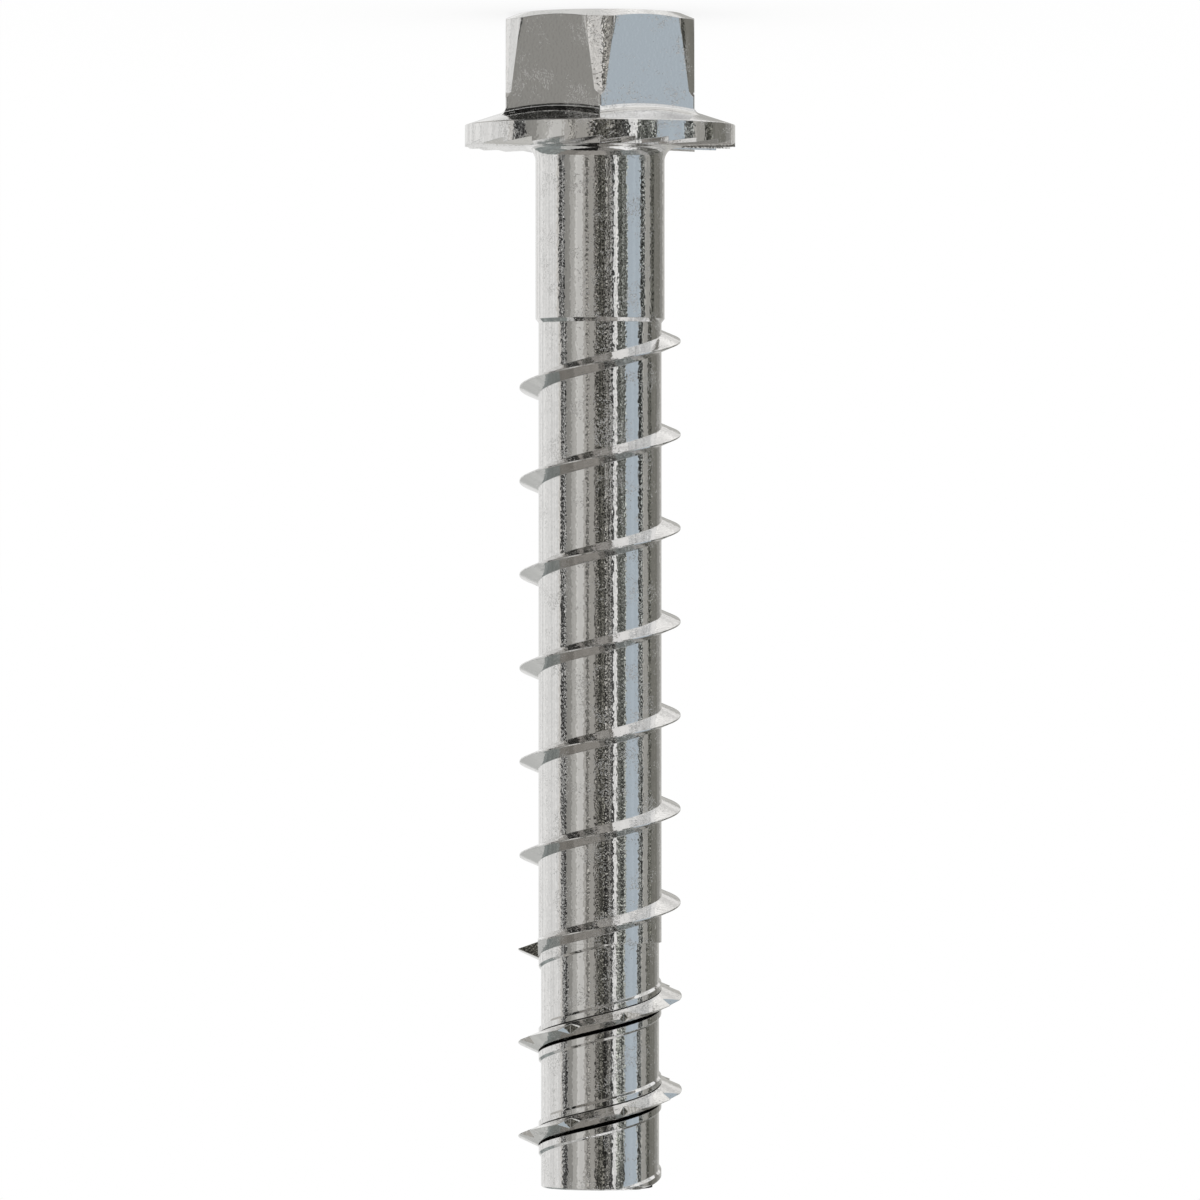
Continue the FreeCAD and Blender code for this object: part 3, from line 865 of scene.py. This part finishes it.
class SCREW_OT_notched_coil(bpy.types.Operator):
    """Build the notched cutting coil that is let into the tip"""
    bl_idname = "screw.notched_coil"
    bl_label = "Notched coil"

    def execute(self, context):
        finish = context.scene.screw_finish
        steel = polished_steel("bright_hardened_steel", finish.hardened, finish)
        lining = braze_in_painted_shade(finish.painted_groove_shade, finish)
        screw, coil = context.scene.screw_shank, context.scene.screw_coil
        foot = screw.groove / 2 + coil.braze
        piece = make_piece(
            "notched_coil", coil_grids(context.scene), steel, lining, foot, screw.length)
        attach(piece, "root")
        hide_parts("cutting_coil")
        return {"FINISHED"}


class SCREW_OT_stage(bpy.types.Operator):
    """Lay the floor, stand the studio cards round the screw and set the camera"""
    bl_idname = "screw.stage"
    bl_label = "Floor, light and camera"

    def execute(self, context):
        studio = context.scene.screw_studio
        lay_floor(studio)
        for ring, cards, low, high, away in CARD_RINGS:
            for number, (first, last, code, contrast) in enumerate(cards):
                name = f"{ring}_card_{number}"
                paint = glow(name, code, contrast)
                dome_card(name, first, last, low, high, away, studio.camera_height, paint)
        set_world()
        set_camera(studio)
        context.scene.view_settings.view_transform = "Standard"
        return {"FINISHED"}


def lay_floor(studio):
    """A round, matt floor, seen mostly as plain white, so that only a faint shadow stays on it."""
    material, tree = empty_material("matt_white_floor")
    matt = node(tree, "ShaderNodeBsdfDiffuse", Color=(*studio.floor, 1.0), Roughness=0.0)
    plain = node(tree, "ShaderNodeEmission", Color=(*studio.floor, 1.0), Strength=1.0)
    rays = node(tree, "ShaderNodeLightPath").outputs
    seen = node(
        tree, "ShaderNodeMath", {"operation": "ADD"}, _0=rays["Is Camera Ray"],
        _1=rays["Is Glossy Ray"])
    seen = node(
        tree, "ShaderNodeMath", {"operation": "ADD"}, _0=seen.outputs["Value"],
        _1=rays["Is Transmission Ray"])
    part = node(
        tree, "ShaderNodeMath", {"operation": "MULTIPLY"}, _0=seen.outputs["Value"],
        _1=studio.plain)
    mixed = node(
        tree, "ShaderNodeMixShader", _0=part.outputs["Value"], _1=matt.outputs["BSDF"],
        _2=plain.outputs["Emission"])
    node(tree, "ShaderNodeOutputMaterial", Surface=mixed.outputs["Shader"])
    turned = np.linspace(0, FULL_TURN, FLOOR_SIDES + 1)[:-1, None]
    points = cylindrical(turned, np.array([0.0, FLOOR_RADIUS]), 0.0)
    mesh = bpy.data.meshes.new("floor")
    mesh.from_pydata(points.reshape(-1, 3), [], grid_quads(points, True)[:, ::-1])
    mesh.materials.append(material)
    floor = add_object("floor", mesh)
    floor.visible_glossy = False


def set_world():
    """An even white surround, at the strength where white is white."""
    world = bpy.data.worlds.new("white_surround")
    bpy.context.scene.world = world
    world.use_nodes = True
    tree = world.node_tree
    tree.nodes.clear()
    surround = node(tree, "ShaderNodeBackground", Color=(1.0, 1.0, 1.0, 1.0), Strength=1.0)
    node(tree, "ShaderNodeOutputWorld", Surface=surround.outputs["Background"])


def set_camera(studio):
    """A level camera that hangs upside down: the screw stands on its head, pictured tip down."""
    data = bpy.data.cameras.new("camera")
    data.lens = studio.lens
    data.sensor_width = 36.0
    data.clip_start, data.clip_end = 0.01, 100.0
    camera = add_object("camera", data)
    level = Matrix.Rotation(math.pi / 2, 4, "X")
    head_up = Matrix.Rotation(math.pi, 4, "Z")
    place = Matrix.Translation((0.0, -studio.camera_distance, studio.camera_height))
    camera.matrix_world = place @ level @ head_up
    bpy.context.scene.camera = camera


class SCREW_PT_panel(bpy.types.Panel):
    """The screw's sizes and its build steps"""
    bl_label = "Concrete screw"
    bl_idname = "SCREW_PT_panel"
    bl_space_type = "VIEW_3D"
    bl_region_type = "UI"
    bl_category = "Screw"

    def draw(self, context):
        for operator in OPERATORS:
            self.layout.operator(operator.bl_idname)
        for name, group in GROUPS.items():
            box = self.layout.box()
            box.label(text=group.__doc__)
            for size in group.__annotations__:
                box.prop(getattr(context.scene, name), size)


OPERATORS = (SCREW_OT_stage, SCREW_OT_forged_screw, SCREW_OT_notched_coil)
CLASSES = (*GROUPS.values(), *OPERATORS, SCREW_PT_panel)


def register():
    for cls in CLASSES:
        bpy.utils.register_class(cls)
    for name, group in GROUPS.items():
        setattr(bpy.types.Scene, name, PointerProperty(type=group))


def unregister():
    for name in GROUPS:
        delattr(bpy.types.Scene, name)
    for cls in reversed(CLASSES):
        bpy.utils.unregister_class(cls)


def main():
    """Builds everything."""
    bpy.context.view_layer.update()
    register()
    bpy.ops.screw.stage()
    bpy.ops.screw.forged_screw()
    bpy.ops.screw.notched_coil()


if __name__ == "__main__":
    main()
